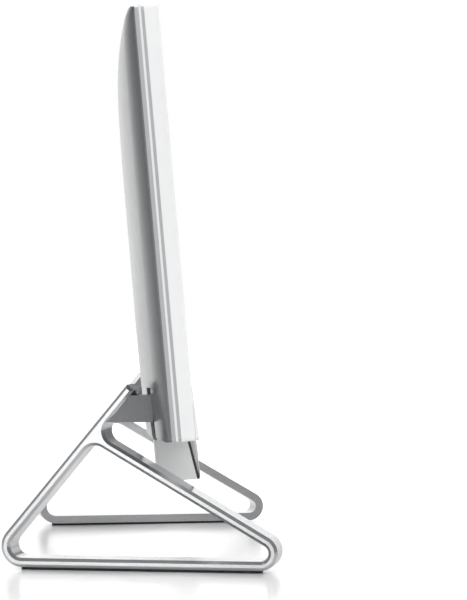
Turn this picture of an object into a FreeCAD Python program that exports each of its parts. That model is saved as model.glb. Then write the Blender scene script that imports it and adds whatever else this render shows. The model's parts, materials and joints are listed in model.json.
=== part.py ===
import FreeCAD, Part
import math
import os
import re

import Sketcher

# An all-in-one desktop computer: a display unit that holds the whole machine, hung between the
# legs of two splayed metal loop frames.  Millimetres.  +Z is up and the screen faces -Y.
# The origin is on the floor, in the middle of the object's footprint.

Vector = FreeCAD.Vector
doc = FreeCAD.newDocument("all_in_one_pc")

# ---------------------------------------------------------------- driving dimensions

SIZES = [
    # the display unit; its own frame has X to the right, Y from the front plane to the back
    # and Z from the bottom edge to the top edge
    ("DisplayWidth", 540.0),
    ("DisplayHeight", 326.0),
    ("DisplayTilt", 5.0),
    ("DisplayFrontY", -41.4),
    ("DisplayBottomZ", 101.0),
    ("FrontDepth", 10.8),
    ("LipDepth", 1.5),
    ("CornerRadius", 4.0),
    ("ScreenWidth", 521.0),
    ("ScreenHeight", 293.0),
    ("ScreenOverlap", 2.0),
    ("StackClearance", 0.5),
    ("ChinHeight", 28.0),
    ("ChinTopProud", 1.0),
    ("ChinBottomProud", 2.3),
    ("SeamDepth", 18.0),
    ("MiddleInset", 1.2),
    ("MiddleBeadInset", 0.4),
    ("MiddleRail", 11.0),
    ("MiddleFoot", 5.4),
    # the rear cover's crowned shell
    ("CoverInset", 0.5),
    ("CoverDepth", 41.4),
    ("CoverSideDrop", 17.4),
    ("CoverSidePower", 3.1),
    ("CoverTopEdge", 22.6),
    ("CoverTopRoll", 18.2),
    ("CoverTopPower", 0.863),
    ("CoverFootDrop", 1.5),
    ("CoverFootReach", 60.0),
    ("CoverWall", 2.0),
    # the tilt hinge
    ("HingeDepth", 19.1),
    ("HingeHeight", 24.0),
    ("ShaftRadius", 4.0),
    ("ShaftFit", 0.05),
    ("ArmInner", 199.0),
    ("ArmOuter", 223.0),
    ("ArmHeight", 20.4),
    ("ArmBossRadius", 6.6),
    ("ArmNeck", 11.5),
    ("ShaftInner", 177.0),
    ("WasherRadius", 7.0),
    ("WasherThickness", 1.1),
    ("WasherPitch", 1.3),
    ("NutRadius", 7.2),
    ("NutThickness", 3.6),
    ("SlotClearance", 1.2),
    ("SlotTop", 41.0),
    ("LinerWall", 1.2),
    ("KnuckleInner", 184.0),
    ("KnuckleOuter", 196.0),
    ("KnuckleRadius", 6.8),
    # the loop frames of the stand; each lies in its own upright plane
    ("FrameSplay", 10.5),
    ("FrameOuterX", 228.5),
    ("FrameWidth", 28.5),
    ("BarThickness", 7.0),
    ("LegAngle", 50.3),
    ("BarAngle", 30.3),
    ("LegFootX", -124.4),
    ("BarFootX", 143.0),
    ("LegTopX", -8.4),
    ("RearRadius", 16.0),
    ("FrontRadius", 13.3),
    ("ForkRadius", 10.0),
    ("FrameChamfer", 2.3),
    ("FootThickness", 2.0),
    ("FootWidth", 22.0),
    ("FootRear", -92.0),
    ("FootFront", 93.5),
    # the loudspeaker bar under the display
    ("BarLength", 394.0),
    ("BarDrop", 32.7),
    ("BarRear", 33.0),
    ("BarSeam", 27.5),
    ("BarFaceTop", 7.2),
    ("BarFaceBottom", 1.7),
    ("TrimDepth", 2.0),
    ("BarEndRadius", 4.5),
    ("BarFootRadius", 2.0),
    # what is inside
    ("PlateDepth", 11.2),
    ("PlateThickness", 1.2),
    ("BoardDepth", 16.0),
    ("BoardThickness", 1.6),
    ("PortFace", 37.6),
    ("PortHeight", 52.0),
    ("FanX", -128.0),
    ("FanHeight", 232.0),
    ("FanRadius", 30.0),
    ("FanDepth", 11.0),
    ("CameraWidth", 64.0),
    ("CameraThickness", 4.4),
    ("CameraLength", 46.0),
    ("ButtonX", 234.0),
    ("ButtonPitch", 24.0),
    ("ButtonLength", 12.0),
    ("ButtonWidth", 4.0),
    ("ButtonDepth", 12.4),
    ("SlideClearance", 0.35),
    ("FanFront", 18.0),
    ("ScrewRadius", 1.3),
    ("PowerRadius", 5.2),
    ("PowerBore", 2.8),
    ("PlugBore", 1.8),
    ("SocketDepth", 12.0),
    ("HeadsetDepth", 14.4),
    ("HeadsetHeight", 90.0),
    ("HeadsetRadius", 2.9),
    ("StandShift", 3.2),
]

sheet = doc.addObject("Spreadsheet::Sheet", "Sizes")
for row, (alias, amount) in enumerate(SIZES, start=1):
    sheet.set("A%d" % row, alias)
    sheet.set("B%d" % row, str(amount))
    sheet.setAlias("B%d" % row, alias)
doc.recompute()


def size(alias):
    """A driving dimension as a number."""
    return float(sheet.get(alias))


def expr(text):
    """The sheet's names in a formula, written out the way FreeCAD reads them."""
    return re.sub(r"\b([A-Z][A-Za-z]+)\b", r"Sizes.\1", str(text))


def bind(item, prop, text):
    item.setExpression(prop, expr(text))


# ---------------------------------------------------------------- placements

def stand_placement():
    return FreeCAD.Placement()


def display_placement():
    """The display unit's own frame, leaning back by DisplayTilt."""
    base = Vector(0, size("DisplayFrontY"), size("DisplayBottomZ"))
    return FreeCAD.Placement(base, FreeCAD.Rotation(Vector(1, 0, 0), -size("DisplayTilt")))


def frame_placement(side):
    """A loop frame's own frame: X runs forward along it and the outer face is at Y = 0."""
    base = Vector(side * size("FrameOuterX"), size("StandShift"), 0)
    turn = -90 + side * size("FrameSplay")
    return FreeCAD.Placement(base, FreeCAD.Rotation(Vector(0, 0, 1), turn))


# ---------------------------------------------------------------- building helpers

NODES = []


def node(item, label, placement=None):
    """Names a finished sub-part; its label is also its file's name."""
    item.Label = label
    if placement is not None:
        item.Placement = placement
    NODES.append(item)
    return item


def new_body(label, placement):
    body = doc.addObject("PartDesign::Body", "Body_" + label)
    return node(body, label, placement)


def origin_plane(body, role):
    for feature in body.Origin.OriginFeatures:
        if feature.Role == role:
            return feature
    raise ValueError(role)


def box(body, name, x, y, z, cut=False):
    """A block between pairs of low and high formulas along X, Y and Z."""
    kind = "PartDesign::SubtractiveBox" if cut else "PartDesign::AdditiveBox"
    block = body.newObject(kind, name)
    for prop, axis, (low, high) in zip(("Length", "Width", "Height"), "xyz", (x, y, z)):
        bind(block, prop, "(%s) - (%s)" % (high, low))
        bind(block, "Placement.Base." + axis, low)
    return block


AXIS_TURNS = {
    "X": FreeCAD.Rotation(Vector(0, 1, 0), 90),
    "Y": FreeCAD.Rotation(Vector(1, 0, 0), -90),
    "Z": FreeCAD.Rotation(),
}


def cylinder(body, name, axis, start, radius, length, cut=False):
    """A round bar from the start point, along +X, +Y or +Z."""
    kind = "PartDesign::SubtractiveCylinder" if cut else "PartDesign::AdditiveCylinder"
    bar = body.newObject(kind, name)
    bar.Placement = FreeCAD.Placement(Vector(), AXIS_TURNS[axis])
    bind(bar, "Radius", radius)
    bind(bar, "Height", length)
    for letter, place in zip("xyz", start):
        bind(bar, "Placement.Base." + letter, place)
    return bar


def outline(body, name, role, points, offset="0"):
    """A closed sketch with straight sides; each corner is held by two bound distances."""
    sketch = body.newObject("Sketcher::SketchObject", name)
    sketch.AttachmentSupport = [(origin_plane(body, role), "")]
    sketch.MapMode = "FlatFace"
    values = []
    for across, up in points:
        values.append((number(across), number(up)))
    count = len(points)
    for index in range(count):
        here = Vector(values[index][0], values[index][1], 0)
        after = values[(index + 1) % count]
        sketch.addGeometry(Part.LineSegment(here, Vector(after[0], after[1], 0)), False)
    for index in range(count):
        sketch.addConstraint(Sketcher.Constraint("Coincident", index, 2, (index + 1) % count, 1))
    for index, (across, up) in enumerate(points):
        for kind, text, amount in (("DistanceX", across, values[index][0]),
                                   ("DistanceY", up, values[index][1])):
            place = sketch.addConstraint(Sketcher.Constraint(kind, -1, 1, index, 1, amount))
            sketch.setExpression("Constraints[%d]" % place, expr(text))
    bind(sketch, "AttachmentOffset.Base.z", offset)
    return sketch


def number(text):
    """What a formula of sheet names comes to."""
    result = sheet.evalExpression(expr(text))
    return float(getattr(result, "Value", result))


def pad(body, name, sketch, length, reverse=False):
    feature = body.newObject("PartDesign::Pad", name)
    feature.Profile = sketch
    feature.Reversed = reverse
    bind(feature, "Length", length)
    return feature


def pocket(body, name, sketch, length, reverse=False):
    feature = body.newObject("PartDesign::Pocket", name)
    feature.Profile = sketch
    feature.Reversed = reverse
    bind(feature, "Length", length)
    return feature


def edges_along(shape, direction, chosen):
    """Names of the straight edges parallel to a direction whose middle passes a test."""
    names = []
    for index, edge in enumerate(shape.Edges, start=1):
        if edge.Curve.TypeId != "Part::GeomLine":
            continue
        along = edge.Vertexes[-1].Point - edge.Vertexes[0].Point
        if along.Length > 0 and along.normalize().cross(direction).Length < 1e-4:
            if chosen(edge.CenterOfMass):
                names.append("Edge%d" % index)
    return names


def dress(body, name, kind, names, amount):
    """A fillet or a chamfer on edges of what the body holds so far."""
    base = body.Tip
    feature = body.newObject("PartDesign::" + kind, name)
    feature.Base = (base, names)
    bind(feature, "Radius" if kind == "Fillet" else "Size", amount)
    return feature


def round_corners(body, name, direction, radius, chosen=lambda middle: True):
    doc.recompute()
    names = edges_along(body.Tip.Shape, direction, chosen)
    return dress(body, name, "Fillet", names, radius)


def plain_block(label, x, y, z, radius=None, direction=Vector(0, 1, 0)):
    """A display part that is one block, with rounded edges along one direction if asked."""
    body = new_body(label, display_placement())
    box(body, label + "_block", x, y, z)
    if radius is not None:
        round_corners(body, label + "_edges", direction, radius)
    return body


def loose(kind, name, sizes, placement):
    """A plain solid for a group of pieces that don't touch each other."""
    item = doc.addObject(kind, name)
    item.Placement = placement
    for prop, text in sizes:
        bind(item, prop, text)
    return item


def loose_box(name, x, y, z):
    item = doc.addObject("Part::Box", name)
    for prop, axis, (low, high) in zip(("Length", "Width", "Height"), "xyz", (x, y, z)):
        bind(item, prop, "(%s) - (%s)" % (high, low))
        bind(item, "Placement.Base." + axis, low)
    return item


def group(label, items, placement):
    """Separate solids of one kind in one node."""
    compound = doc.addObject("Part::Compound", "Group_" + label)
    compound.Links = items
    return node(compound, label, placement)


def one_screw(name, place, axis, radius, length, head_radius, head_height):
    """A pan-head screw along an axis; the place is where its head meets what it holds."""
    turn = FreeCAD.Rotation(Vector(0, 0, 1), Vector(*axis))
    start = Vector(*place)
    back = start - Vector(*axis) * head_height
    shank = loose("Part::Cylinder", name + "_shank", (("Radius", radius), ("Height", length)),
                  FreeCAD.Placement(start, turn))
    head = loose("Part::Cylinder", name + "_head",
                 (("Radius", head_radius), ("Height", head_height)),
                 FreeCAD.Placement(back, turn))
    whole = doc.addObject("Part::Fuse", name)
    whole.Base = shank
    whole.Tool = head
    return whole


# ---------------------------------------------------------------- the stand

LEG = "(LegAngle * 1deg)"
BAR = "(BarAngle * 1deg)"
SIDES = ((-1, "left"), (1, "right"))


def leg_height(across, inset="0"):
    """Height of the leg's edge at a place along the frame, inset from the outer edge."""
    return "FootThickness + (%s - LegFootX) * tan%s - (%s) / cos%s" % (across, LEG, inset, LEG)


def meeting(leg_inset, bar_inset):
    """Where a line along the leg meets a line along the sloping bar, both given by inset."""
    fall = "((%s) / cos%s)" % (leg_inset, LEG)
    drop = "((%s) / cos%s)" % (bar_inset, BAR)
    across = ("((BarFootX * tan%s + LegFootX * tan%s + %s - %s) / (tan%s + tan%s))"
              % (BAR, LEG, fall, drop, LEG, BAR))
    return across, leg_height(across, leg_inset)


def near_line(middle, place):
    """Whether an edge across the frame passes through a place of its outline."""
    return math.hypot(middle.x - place.x, middle.z - place.z) < 0.5


def stand_frame(side, word):
    """One closed metal loop with a fork: base bar, leg, sloping bar and the leg's free top."""
    body = new_body("stand_frame_" + word, frame_placement(side))
    fork = meeting("BarThickness", "0")
    top_inner_across = "(LegTopX + BarThickness * sin%s)" % LEG
    outer = [
        ("LegFootX", "FootThickness"),
        ("BarFootX", "FootThickness"),
        fork,
        (top_inner_across, leg_height(top_inner_across, "BarThickness")),
        ("LegTopX", leg_height("LegTopX")),
    ]
    sketch = outline(body, "loop_outline_" + word, "XZ_Plane", outer)
    pad(body, "loop_" + word, sketch, "FrameWidth", reverse=side < 0)
    across = Vector(0, 1, 0)
    base_top = "FootThickness + BarThickness"
    rear_inner = "(LegFootX + BarThickness * (1 + 1 / cos%s) / tan%s)" % (LEG, LEG)
    front_inner = "(BarFootX - BarThickness * (1 + 1 / cos%s) / tan%s)" % (BAR, BAR)
    inner = [(rear_inner, base_top), (front_inner, base_top),
             meeting("BarThickness", "BarThickness")]
    window = outline(body, "window_outline_" + word, "XZ_Plane", inner)
    pocket(body, "window_" + word, window, "FrameWidth", reverse=side > 0)
    corners = [
        ("window_front_", front_inner, base_top, "FrontRadius - BarThickness"),
        ("window_rear_", rear_inner, base_top, "RearRadius - BarThickness"),
        ("window_apex_", inner[2][0], inner[2][1], "ForkRadius"),
        ("front_corner_", "BarFootX", "FootThickness", "FrontRadius"),
        ("rear_corner_", "LegFootX", "FootThickness", "RearRadius"),
        ("fork_", fork[0], fork[1], "ForkRadius"),
    ]
    for name, place_across, place_up, radius in corners:
        place = Vector(number(place_across), 0, number(place_up))
        round_corners(body, name + word, across, radius,
                      lambda middle, place=place: near_line(middle, place))
    doc.recompute()
    names = []
    for index, edge in enumerate(body.Tip.Shape.Edges, start=1):
        if edge.BoundBox.YMax < 1e-6 and edge.BoundBox.YMin > -1e-6:
            names.append("Edge%d" % index)
    dress(body, "bright_face_chamfer_" + word, "Chamfer", names, "FrameChamfer")
    return body


def foot_strip(side, word):
    """The rubber strip under a base bar."""
    body = new_body("foot_strip_" + word, frame_placement(side))
    middle = "%d * FrameWidth / 2" % -side
    box(body, "strip_" + word, ("FootRear", "FootFront"),
        (middle + " - FootWidth / 2", middle + " + FootWidth / 2"), ("0", "FootThickness"))
    round_corners(body, "strip_ends_" + word, Vector(0, 0, 1), "FootWidth / 4")
    return body


def hinge_line():
    """Y and Z of the tilt axis, in the object's frame."""
    local = Vector(0, size("HingeDepth"), size("HingeHeight"))
    return display_placement().multVec(local)


def arm_points():
    """The arm's side outline as (Y, Z): its rear end is sunk into the leg, to be cut off there."""
    axis = hinge_line()
    half = size("ArmHeight") / 2
    leg_tangent = math.tan(math.radians(size("LegAngle")))
    low = axis.z - half
    high = axis.z + half
    middle_inset = size("BarThickness") / 2 / math.sin(math.radians(size("LegAngle")))
    splay = math.cos(math.radians(size("FrameSplay")))

    def leg_y(height):
        along = size("LegFootX") + (height - size("FootThickness")) / leg_tangent + middle_inset
        return -along * splay

    return axis, low, high, leg_y(low), leg_y(high)


def arm_cover(side, word, frame):
    """The housing that carries the display: fixed to the leg, it reaches in to the tilt axis."""
    axis, low, high, rear_low, rear_high = arm_points()
    body = doc.addObject("PartDesign::Body", "ArmBlank_" + word)
    boss = size("ArmBossRadius")
    neck = axis.y + size("ArmNeck")
    inner = "ArmInner" if side > 0 else "-ArmOuter"
    points = [(rear_low, low), (neck, low), (neck, axis.z - boss), (axis.y, axis.z - boss),
              (axis.y, axis.z + boss), (neck, axis.z + boss), (neck, high), (rear_high, high)]
    sketch = outline(body, "arm_outline_" + word, "YZ_Plane",
                     [(repr(y), repr(z)) for y, z in points],
                     offset=inner)
    pad(body, "arm_" + word, sketch, "ArmOuter - ArmInner")
    place = (inner, repr(axis.y), repr(axis.z))
    cylinder(body, "arm_boss_" + word, "X", place, "ArmBossRadius", "ArmOuter - ArmInner")
    cylinder(body, "arm_bore_" + word, "X", place, "ShaftRadius", "ArmOuter - ArmInner", cut=True)
    core = core_range(side)
    box(body, "core_pocket_" + word, (core[0] + " - 0.2", core[1] + " + 0.2"),
        (repr(axis.y), repr(rear_high - 6)), (repr(axis.z - 5.2), repr(axis.z + 5.2)), cut=True)
    cylinder(body, "eye_pocket_" + word, "X", (core[0] + " - 0.2", repr(axis.y), repr(axis.z)),
             "ArmBossRadius + 0.4", "4.4", cut=True)
    hole = "ArmInner" if side > 0 else "-ArmInner - 14"
    cylinder(body, "arm_screw_hole_" + word, "X", (hole, repr(ARM_SCREW_Y), repr(axis.z)),
             "ScrewRadius", "14", cut=True)
    trimmed = doc.addObject("Part::Cut", "Arm_" + word)
    trimmed.Base = body
    trimmed.Tool = frame
    return node(trimmed, "arm_cover_" + word)


def core_range(side):
    """Low and high X of the steel hinge arm inside the cover."""
    if side > 0:
        return "(ArmInner + 10)", "(ArmInner + 14)"
    return "(-ArmInner - 14)", "(-ArmInner - 10)"


def hinge_arm(side, word):
    """The steel plate in the arm cover, with an eye on the shaft."""
    axis, low, high, rear_low, rear_high = arm_points()
    body = new_body("hinge_arm_" + word, stand_placement())
    core = core_range(side)
    box(body, "core_" + word, core, (repr(axis.y), repr(rear_high - 6.5)),
        (repr(axis.z - 5), repr(axis.z + 5)))
    place = (core[0], repr(axis.y), repr(axis.z))
    cylinder(body, "eye_" + word, "X", place, "ArmBossRadius - 0.2", "4")
    cylinder(body, "eye_bore_" + word, "X", place, "ShaftRadius", "4", cut=True)
    cylinder(body, "core_screw_hole_" + word, "X", (core[0], repr(ARM_SCREW_Y), repr(axis.z)),
             "ScrewRadius", "4", cut=True)
    return body


def hinge_shaft(side, word):
    """The pin that the display tilts on: pressed into the arm, running in the bracket."""
    axis = hinge_line()
    start = "ShaftInner" if side > 0 else "-ArmOuter"
    body = new_body("hinge_shaft_" + word, stand_placement())
    cylinder(body, "pin_" + word, "X", (start, repr(axis.y), repr(axis.z)), "ShaftRadius",
             "ArmOuter - ShaftInner")
    return body


def ring(name, side, near, far, outer, inner):
    """A ring on the tilt axis between two distances from the middle of the object."""
    axis = hinge_line()
    start = near if side > 0 else -far
    place = FreeCAD.Placement(Vector(start, axis.y, axis.z), AXIS_TURNS["X"])
    height = far - near
    solid = loose("Part::Cylinder", name + "_disc", (("Radius", outer), ("Height", height)), place)
    hole = loose("Part::Cylinder", name + "_hole", (("Radius", inner), ("Height", height)), place)
    item = doc.addObject("Part::Cut", name)
    item.Base = solid
    item.Tool = hole
    return item


def hinge_washers_and_nuts():
    """Spring washers press the bracket's knuckle, so that the display stays where it is put."""
    washers = []
    nuts = []
    for side, word in SIDES:
        for index in range(2):
            far = size("KnuckleInner") - 0.5 - index * size("WasherPitch")
            washers.append(ring("washer_%s_%d" % (word, index), side,
                                far - size("WasherThickness"), far, "WasherRadius",
                                "ShaftRadius"))
        nut = doc.addObject("Part::Prism", "nut_blank_" + word)
        nut.Polygon = 6
        bind(nut, "Circumradius", "NutRadius")
        bind(nut, "Height", "NutThickness")
        axis = hinge_line()
        near = size("ShaftInner") + 0.3
        start = near if side > 0 else -near - size("NutThickness")
        nut.Placement = FreeCAD.Placement(Vector(start, axis.y, axis.z), AXIS_TURNS["X"])
        hole = loose("Part::Cylinder", "nut_hole_" + word,
                     (("Radius", "ShaftRadius"), ("Height", "NutThickness")), nut.Placement)
        item = doc.addObject("Part::Cut", "nut_" + word)
        item.Base = nut
        item.Tool = hole
        nuts.append(item)
    group("hinge_spring_washers", washers, stand_placement())
    group("hinge_nuts", nuts, stand_placement())


ARM_SCREW_Y = -1.5


def hinge_screws():
    """One screw on the inner side of each arm holds the cover on its steel plate."""
    axis = hinge_line()
    places = [(side * size("ArmInner"), ARM_SCREW_Y, axis.z) for side, _ in SIDES]
    items = []
    for index, (place, (side, _)) in enumerate(zip(places, SIDES)):
        items.append(one_screw("arm_screw_%d" % index, place, (side, 0, 0), "ScrewRadius",
                               "13.5", "2.8", 1.0))
    group("arm_screws", items, stand_placement())


def build_stand():
    for side, word in SIDES:
        frame = stand_frame(side, word)
        foot_strip(side, word)
        arm_cover(side, word, frame)
        hinge_arm(side, word)
        hinge_shaft(side, word)
    hinge_washers_and_nuts()
    hinge_screws()


# ---------------------------------------------------------------- the display's shell

HALF = "(DisplayWidth / 2)"
STACK = "(ScreenWidth / 2 + ScreenOverlap)"
STACK_LOW = "(ChinHeight - ScreenOverlap)"
STACK_HIGH = "(ChinHeight + ScreenHeight + ScreenOverlap)"
PLATE_BACK = "(PlateDepth + PlateThickness)"
BOARD_FACE = "(BoardDepth + BoardThickness)"


def both(half):
    """The pair of formulas for a width centred on X = 0."""
    return "-(%s)" % half, "(%s)" % half


def front_frame():
    """The white bezel: a thin lip round the screen and a deep rim that holds the panel."""
    body = new_body("front_frame", display_placement())
    box(body, "rim", both(HALF), ("0", "FrontDepth"), ("0", "DisplayHeight"))
    round_corners(body, "rim_corners", Vector(0, 1, 0), "CornerRadius")
    box(body, "screen_opening", both("ScreenWidth / 2"), ("-1", "LipDepth + 1"),
        ("ChinHeight", "ChinHeight + ScreenHeight"), cut=True)
    box(body, "panel_pocket", both(STACK + " + StackClearance"), ("LipDepth", "FrontDepth + 1"),
        (STACK_LOW + " - StackClearance", STACK_HIGH + " + StackClearance"), cut=True)
    box(body, "chin_pocket", both("250"), ("3", "FrontDepth + 1"), ("4", "22"), cut=True)
    doc.recompute()
    names = []
    for index, edge in enumerate(body.Tip.Shape.Edges, start=1):
        on_face = edge.BoundBox.YMax < 1e-6 and edge.BoundBox.YMin > -1e-6
        outside = abs(edge.CenterOfMass.x) > 266 or edge.CenterOfMass.z > 323.5
        if on_face and outside:
            names.append("Edge%d" % index)
    dress(body, "face_edge", "Fillet", names, "1.0")


def chin_cover():
    """The strip below the screen, slightly proud of the bezel and proudest at its foot."""
    body = new_body("chin_cover", display_placement())
    points = [("0", "0.6"), ("-ChinBottomProud", "0.6"), ("-ChinTopProud", "ChinHeight"),
              ("0", "ChinHeight")]
    sketch = outline(body, "chin_outline", "YZ_Plane", points, offset="-DisplayWidth / 2")
    pad(body, "chin", sketch, "DisplayWidth")
    round_corners(body, "chin_corners", Vector(0, 1, 0), "CornerRadius - 0.6",
                  lambda middle: middle.z < 1)


def screen_stack():
    """The flat layers behind the bezel, from the glass to the steel tray."""
    whole = (STACK_LOW, STACK_HIGH)
    plain_block("screen_glass", both(STACK), ("LipDepth", "LipDepth + 1.1"), whole, "1")
    plain_block("lcd_panel", both(STACK), ("LipDepth + 1.1", "LipDepth + 2.4"), whole)
    plain_block("diffuser_sheets", both(STACK), ("LipDepth + 2.4", "LipDepth + 3.1"), whole)
    plain_block("light_guide", both(STACK), ("LipDepth + 3.1", "LipDepth + 5.5"),
                (STACK_LOW + " + 3", STACK_HIGH))
    plain_block("led_strip", both(STACK + " - 2"), ("LipDepth + 3.1", "LipDepth + 5.5"),
                (STACK_LOW, STACK_LOW + " + 2.8"))
    tray = plain_block("backlight_tray", both(STACK), ("LipDepth + 5.5", "LipDepth + 6.3"), whole)
    for index in range(5):
        low = 60 + 55 * index
        box(tray, "tray_rib_%d" % index, both("230"), ("LipDepth + 6.3", "LipDepth + 7.3"),
            (str(low), str(low + 6)))


def middle_frame():
    """The light ring between the bezel and the rear cover, with a bead round its side."""
    body = new_body("middle_frame", display_placement())
    box(body, "ring", both(HALF + " - MiddleInset"), ("FrontDepth", "SeamDepth"),
        ("MiddleInset", "DisplayHeight - MiddleInset"))
    round_corners(body, "ring_corners", Vector(0, 1, 0), "CornerRadius - MiddleInset")
    box(body, "bead", both(HALF + " - MiddleBeadInset"), ("FrontDepth + 2.4", "FrontDepth + 4.0"),
        ("MiddleBeadInset", "DisplayHeight - MiddleBeadInset"))
    box(body, "ring_opening", both(HALF + " - MiddleRail"), ("FrontDepth - 1", "SeamDepth + 1"),
        ("MiddleFoot", "DisplayHeight - 6"), cut=True)
    box(body, "camera_slot", both("CameraWidth / 2 + SlideClearance"),
        (CAMERA_FRONT + " - SlideClearance", CAMERA_BACK + " + SlideClearance"),
        ("DisplayHeight - 8", "DisplayHeight + 1"), cut=True)
    for index in range(2):
        low, high = button_range(index)
        box(body, "button_hole_%d" % index, (low + " - SlideClearance", high + " + SlideClearance"),
            ("ButtonDepth - SlideClearance", "ButtonDepth + ButtonWidth + SlideClearance"),
            ("-1", "MiddleFoot + 1"), cut=True)
    cylinder(body, "headset_hole", "X", ("250", "HeadsetDepth", "HeadsetHeight"),
             "HeadsetRadius", "30", cut=True)


# ---------------------------------------------------------------- the rear cover

def crown(across, height):
    """Depth of the rear cover's outer face: flat in the middle, rolled to the rim all round."""
    full = size("CoverDepth") - size("SeamDepth")
    half = size("DisplayWidth") / 2 - size("CoverInset")
    side = size("CoverSideDrop") * (min(abs(across) / half, 1.0) ** size("CoverSidePower"))
    from_side = (full - side) / full
    down = max(size("DisplayHeight") - height, 0.0)
    rise = 1 - math.exp(-((down / size("CoverTopRoll")) ** size("CoverTopPower")))
    top_edge = size("CoverTopEdge") - size("SeamDepth")
    from_top = (top_edge + (full - top_edge) * rise) / full
    low = max(1 - height / size("CoverFootReach"), 0.0)
    foot = size("CoverFootDrop") * low * low
    blend = 1 / math.sqrt(from_side ** -2 + from_top ** -2 - 1)
    return size("SeamDepth") + full * blend - foot


def crowned_solid(inset, wall):
    """A solid from behind the seam to the crowned face, drawn in by an inset and a wall."""
    half = size("DisplayWidth") / 2
    height = size("DisplayHeight")
    across_places = [half * math.sin(math.radians(angle)) for angle in range(-90, 91, 10)]
    drops = [0, 1.5, 4, 8, 14, 22, 34, 50, 75, 110, 150, 190, 230, 264, 290, 310, 326]
    rows = []
    for drop in drops:
        level = height - drop
        rows.append([Vector(x, crown(x, level) - wall, level) for x in across_places])
    surface = Part.BSplineSurface()
    surface.interpolate(rows)
    deep = surface.toShape().extrude(Vector(0, -60, 0))
    width = size("DisplayWidth") - 2 * inset
    block = Part.makeBox(width, 60, height - 2 * inset,
                         Vector(-width / 2, size("SeamDepth"), inset))
    upright = [edge for edge in block.Edges
               if abs(edge.Vertexes[0].Y - edge.Vertexes[-1].Y) > 1]
    return deep.common(block.makeFillet(size("CornerRadius"), upright))


def cover_openings():
    """Blocks to take out of the shell: the arm slots, the port window and the vents."""
    blocks = []
    slot_low = size("ArmInner") - size("SlotClearance")
    slot_width = size("ArmOuter") + size("SlotClearance") - slot_low
    for side, _ in SIDES:
        left = slot_low if side > 0 else -slot_low - slot_width
        blocks.append(Part.makeBox(slot_width, 60, size("SlotTop") + 5,
                                   Vector(left, size("SeamDepth") - 1, -5)))
    blocks.append(Part.makeBox(200, 30, 20, Vector(-100, 30, size("PortHeight") - 10)))
    for column in range(24):
        for row in range(3):
            left = -126.0 + column * 10.7 + (5.35 if row % 2 else 0)
            blocks.append(Part.makeBox(7.2, 40, 2.2, Vector(left, 20, 276 + row * 6.0)))
    for column in range(20):
        left = -149.0 + column * 15.2
        blocks.append(Part.makeBox(9.0, 12.0, 12, Vector(left, 23, -6)))
    return blocks


def rear_cover():
    """The crowned back shell, open towards the front, one wall thick."""
    item = doc.addObject("Part::Feature", "RearCover")
    inset = size("CoverInset")
    wall = size("CoverWall")
    outer = crowned_solid(inset, 0)
    inner = crowned_solid(inset + wall, wall)
    shell = outer.cut(inner)
    item.Shape = shell.cut(Part.makeCompound(cover_openings()))
    node(item, "rear_cover", display_placement())


def slot_liners():
    """The walls round each arm slot, which hide the inside of the machine."""
    liners = []
    near = "(ArmInner - SlotClearance - LinerWall)"
    far = "(ArmOuter + SlotClearance + LinerWall)"
    for side, word in SIDES:
        across = (near, far) if side > 0 else ("-" + far, "-" + near)
        outside = loose_box("liner_outside_" + word, across, ("15", "28.0"),
                            ("7", "SlotTop + 1 + LinerWall"))
        inside = loose_box("liner_inside_" + word, (across[0] + " + LinerWall",
                                                    across[1] + " - LinerWall"),
                           ("14", "30"), ("6", "SlotTop + 1"))
        walls = doc.addObject("Part::Cut", "liner_walls_" + word)
        walls.Base = outside
        walls.Tool = inside
        bore = loose("Part::Cylinder", "liner_bore_" + word,
                     (("Radius", "ShaftRadius + 0.8"), ("Height", "LinerWall + 2")),
                     FreeCAD.Placement(Vector(), AXIS_TURNS["X"]))
        start = near if side > 0 else "-" + near + " - LinerWall"
        bind(bore, "Placement.Base.x", start + " - 1")
        bind(bore, "Placement.Base.y", "HingeDepth")
        bind(bore, "Placement.Base.z", "HingeHeight")
        liner = doc.addObject("Part::Cut", "liner_" + word)
        liner.Base = walls
        liner.Tool = bore
        liners.append(liner)
    group("slot_liners", liners, display_placement())


def hinge_bracket(side, word):
    """The steel bracket on the chassis plate whose knuckle turns on the shaft."""
    body = new_body("hinge_bracket_" + word, display_placement())
    low = "KnuckleInner" if side > 0 else "-KnuckleOuter"
    high = "KnuckleOuter" if side > 0 else "-KnuckleInner"
    flange = ("176", "KnuckleOuter") if side > 0 else ("-KnuckleOuter", "-176")
    box(body, "flange_" + word, flange, (PLATE_BACK, PLATE_BACK + " + 2"), ("38", "84"))
    box(body, "web_" + word, (low, high), (PLATE_BACK, PLATE_BACK + " + 2"), ("HingeHeight", "40"))
    cylinder(body, "knuckle_" + word, "X", (low, "HingeDepth", "HingeHeight"), "KnuckleRadius",
             "KnuckleOuter - KnuckleInner")
    cylinder(body, "knuckle_bore_" + word, "X", (low, "HingeDepth", "HingeHeight"),
             "ShaftRadius + ShaftFit", "KnuckleOuter - KnuckleInner", cut=True)
    for index, (x, z) in enumerate(bracket_screw_places(side)):
        cylinder(body, "flange_hole_%s_%d" % (word, index), "Y", (str(x), "10", str(z)),
                 "ScrewRadius", "10", cut=True)


def bracket_screw_places(side):
    return [(side * x, z) for x in (180.0, 191.0) for z in (50.0, 76.0)]


# ---------------------------------------------------------------- what the display holds

BOARD_SCREWS = [(-95, 60), (-95, 195), (5, 195), (105, 60), (105, 195)]


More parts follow.
